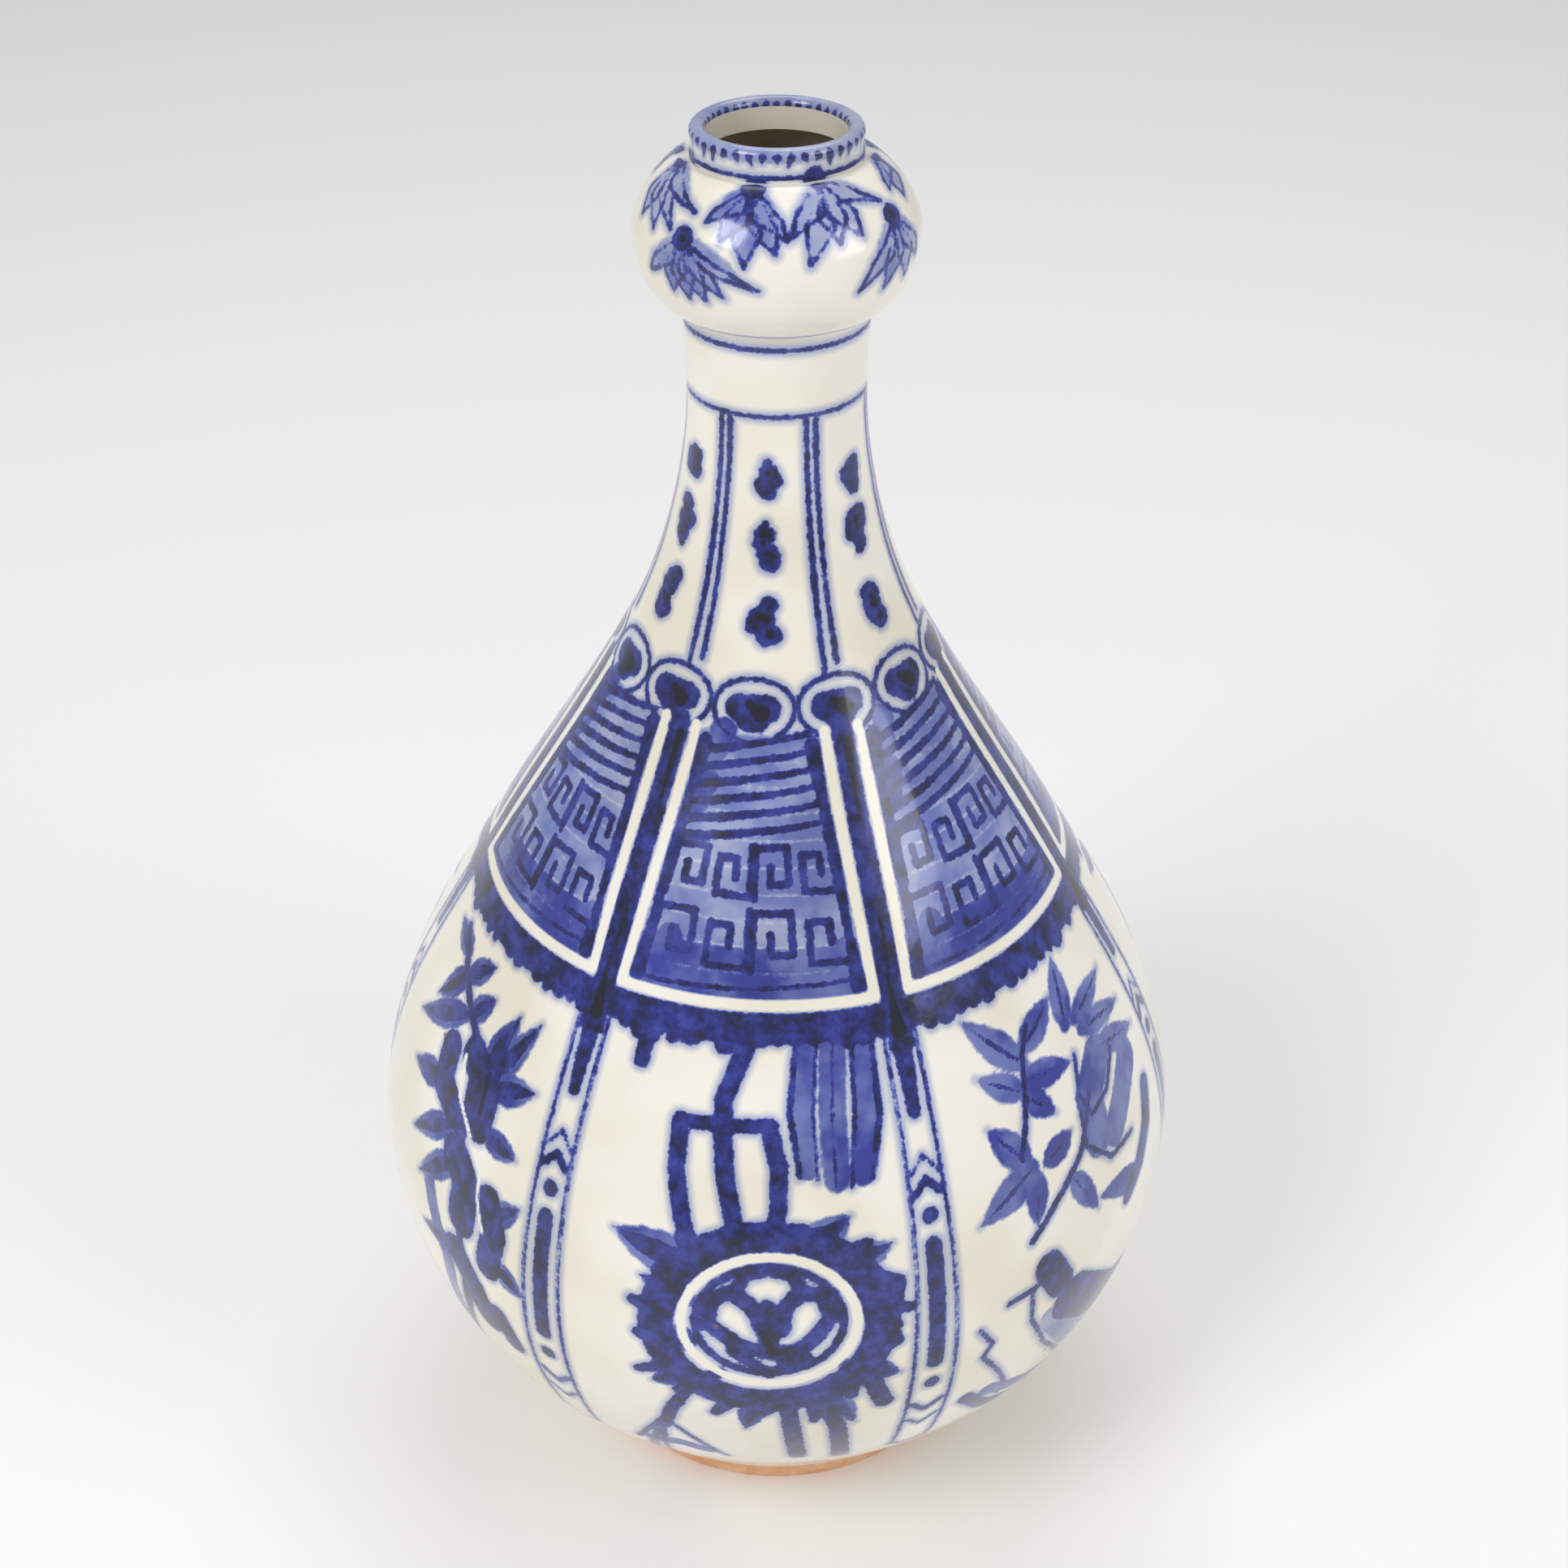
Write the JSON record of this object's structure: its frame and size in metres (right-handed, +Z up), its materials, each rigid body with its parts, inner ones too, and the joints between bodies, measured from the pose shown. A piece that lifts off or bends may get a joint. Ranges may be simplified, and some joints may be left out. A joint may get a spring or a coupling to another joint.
{
  "type": "garlic-head vase",
  "caption": "Porcelain bottle vase with a round belly, slender neck, swelling garlic-head bulb and short rounded mouth collar, on a turned foot ring.",
  "frame": {"origin": "centre of the foot ring's underside", "axes": "+Z up along the bottle's axis of revolution; +X to the right as the main painted panel is seen from -Y"},
  "size_m": [0.1598, 0.1598, 0.2794],
  "materials": {
    "painted_glaze": "cream-white porcelain under clear gloss glaze, painted in cobalt blue; biscuit foot ring",
    "slip": "porcelain slip seam under glaze"
  },
  "bodies": {
    "root": {"lower_body": "painted_glaze", "shoulder": "painted_glaze", "neck": "painted_glaze", "garlic_bulb": "painted_glaze", "mouth_collar": "painted_glaze", "body_seam_slip": "slip", "neck_seam_slip": "slip", "bulb_seam_slip": "slip", "collar_seam_slip": "slip"}
  },
  "joints": []
}
